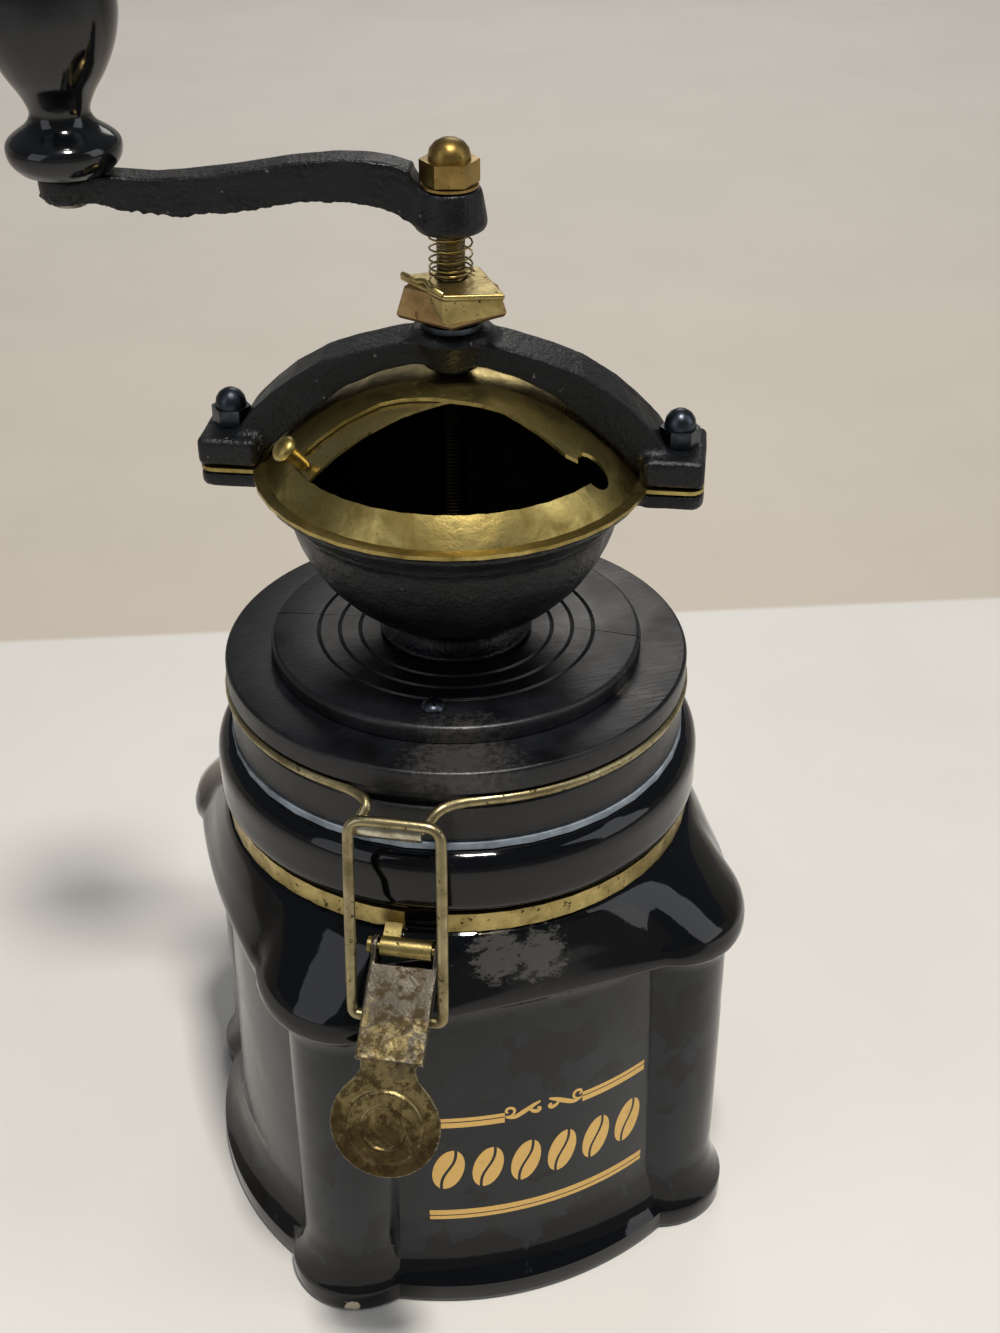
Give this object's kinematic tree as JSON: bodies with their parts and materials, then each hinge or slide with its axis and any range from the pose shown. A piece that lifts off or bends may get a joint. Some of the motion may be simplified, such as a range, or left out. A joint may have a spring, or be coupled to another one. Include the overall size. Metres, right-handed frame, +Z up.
{
  "type": "manual coffee grinder",
  "caption": "Hand-cranked coffee grinder: square glazed jar, clip-held wooden lid, cast hopper with sliding domed cover, yoke and swan-neck crank with turned knob.",
  "frame": {"origin": "centre of the jar's base on the surface that it stands on, below the crank shaft's axis", "axes": "+Z up along the crank shaft, -Y out of the jar's decorated face, +X to the right when that face is looked at"},
  "size_m": [0.1406, 0.138, 0.2901],
  "materials": {
    "glaze": "glossy black glaze with a printed gold border",
    "black_wood": "satin black stain, checked and scuffed",
    "lacquered_wood": "gloss black lacquer",
    "cast_iron": "black enamel over a fine casting skin",
    "aged_brass": "aged, spotted brass plate",
    "worn_plating": "brass plate worn to steel",
    "steel": "plain, a little dull",
    "dark_steel": "blued, dark",
    "rubber": "matte, pale blue grey"
  },
  "bodies": {
    "jar": {"jar": "glaze", "neck_band": "aged_brass", "lever_pin": "aged_brass"},
    "lever": {"lever": "worn_plating"},
    "bail": {"bail_wire": "aged_brass"},
    "lid": {"lid_wire": "aged_brass", "gasket": "rubber", "lid_disc": "black_wood", "raised_disc": "black_wood", "lid_screw_front": "worn_plating", "lid_screw_rear": "worn_plating", "hopper_bowl": "cast_iron", "cover_fixed": "aged_brass", "yoke": "cast_iron", "yoke_bolt_left": "dark_steel", "yoke_bolt_right": "dark_steel", "acorn_nut_left": "dark_steel", "acorn_nut_right": "dark_steel", "burr_ring": "cast_iron", "burr_screw_1": "steel", "burr_screw_2": "steel", "burr_screw_3": "steel", "lower_bridge": "cast_iron"},
    "crank": {"shaft": "steel", "bush": "steel", "adjusting_nut": "aged_brass", "burr_cone": "steel", "burr_nut": "steel", "crank_arm": "cast_iron", "crank_washer": "steel", "crank_nut": "aged_brass", "knob_pin": "steel"},
    "cover": {"cover_slider": "aged_brass", "cover_knob": "aged_brass"},
    "clip": {"lock_clip": "aged_brass", "spring": "steel"},
    "knob": {"handle_knob": "lacquered_wood"}
  },
  "joints": [
    {"name": "lever_open", "type": "hinge", "parent": "jar", "child": "lever", "pos_m": [-0.02701, -0.04974, 0.1026], "axis": [-0.8788, 0.4772, 0], "range_deg": [0, 100]},
    {"name": "bail_swing", "type": "hinge", "parent": "lever", "child": "bail", "pos_m": [-0.03187, -0.05871, 0.0928], "axis": [0.8788, -0.4772, 0], "range_deg": [0, 120]},
    {"name": "lid_hinge", "type": "hinge", "parent": "jar", "child": "lid", "pos_m": [0.02815, 0.05185, 0.104], "axis": [-0.8788, 0.4772, 0], "range_deg": [0, 50]},
    {"name": "crank_turn", "type": "hinge", "parent": "lid", "child": "crank", "pos_m": [0, 0, 0.2344], "axis": [0, 0, 1], "continuous": true},
    {"name": "cover_slide", "type": "hinge", "parent": "lid", "child": "cover", "pos_m": [0, 0, 0.1852], "axis": [0, 0, 1], "range_deg": [0, 119]},
    {"name": "clip_lift", "type": "slide", "parent": "crank", "child": "clip", "axis": [0, 0, 1], "range_m": [0, 0.003], "stiffness_N_per_m": 300, "springref_m": -0.003, "deforming": ["spring"]},
    {"name": "knob_spin", "type": "hinge", "parent": "crank", "child": "knob", "pos_m": [-0.06741, 0.02903, 0.2442], "axis": [0, 0, 1], "continuous": true}
  ],
  "couplings": [
    {"joint": "bail_swing", "follows": "lever_open", "ratio": 1.2},
    {"joint": "lid_hinge", "follows": "lever_open", "ratio": 0.5}
  ]
}
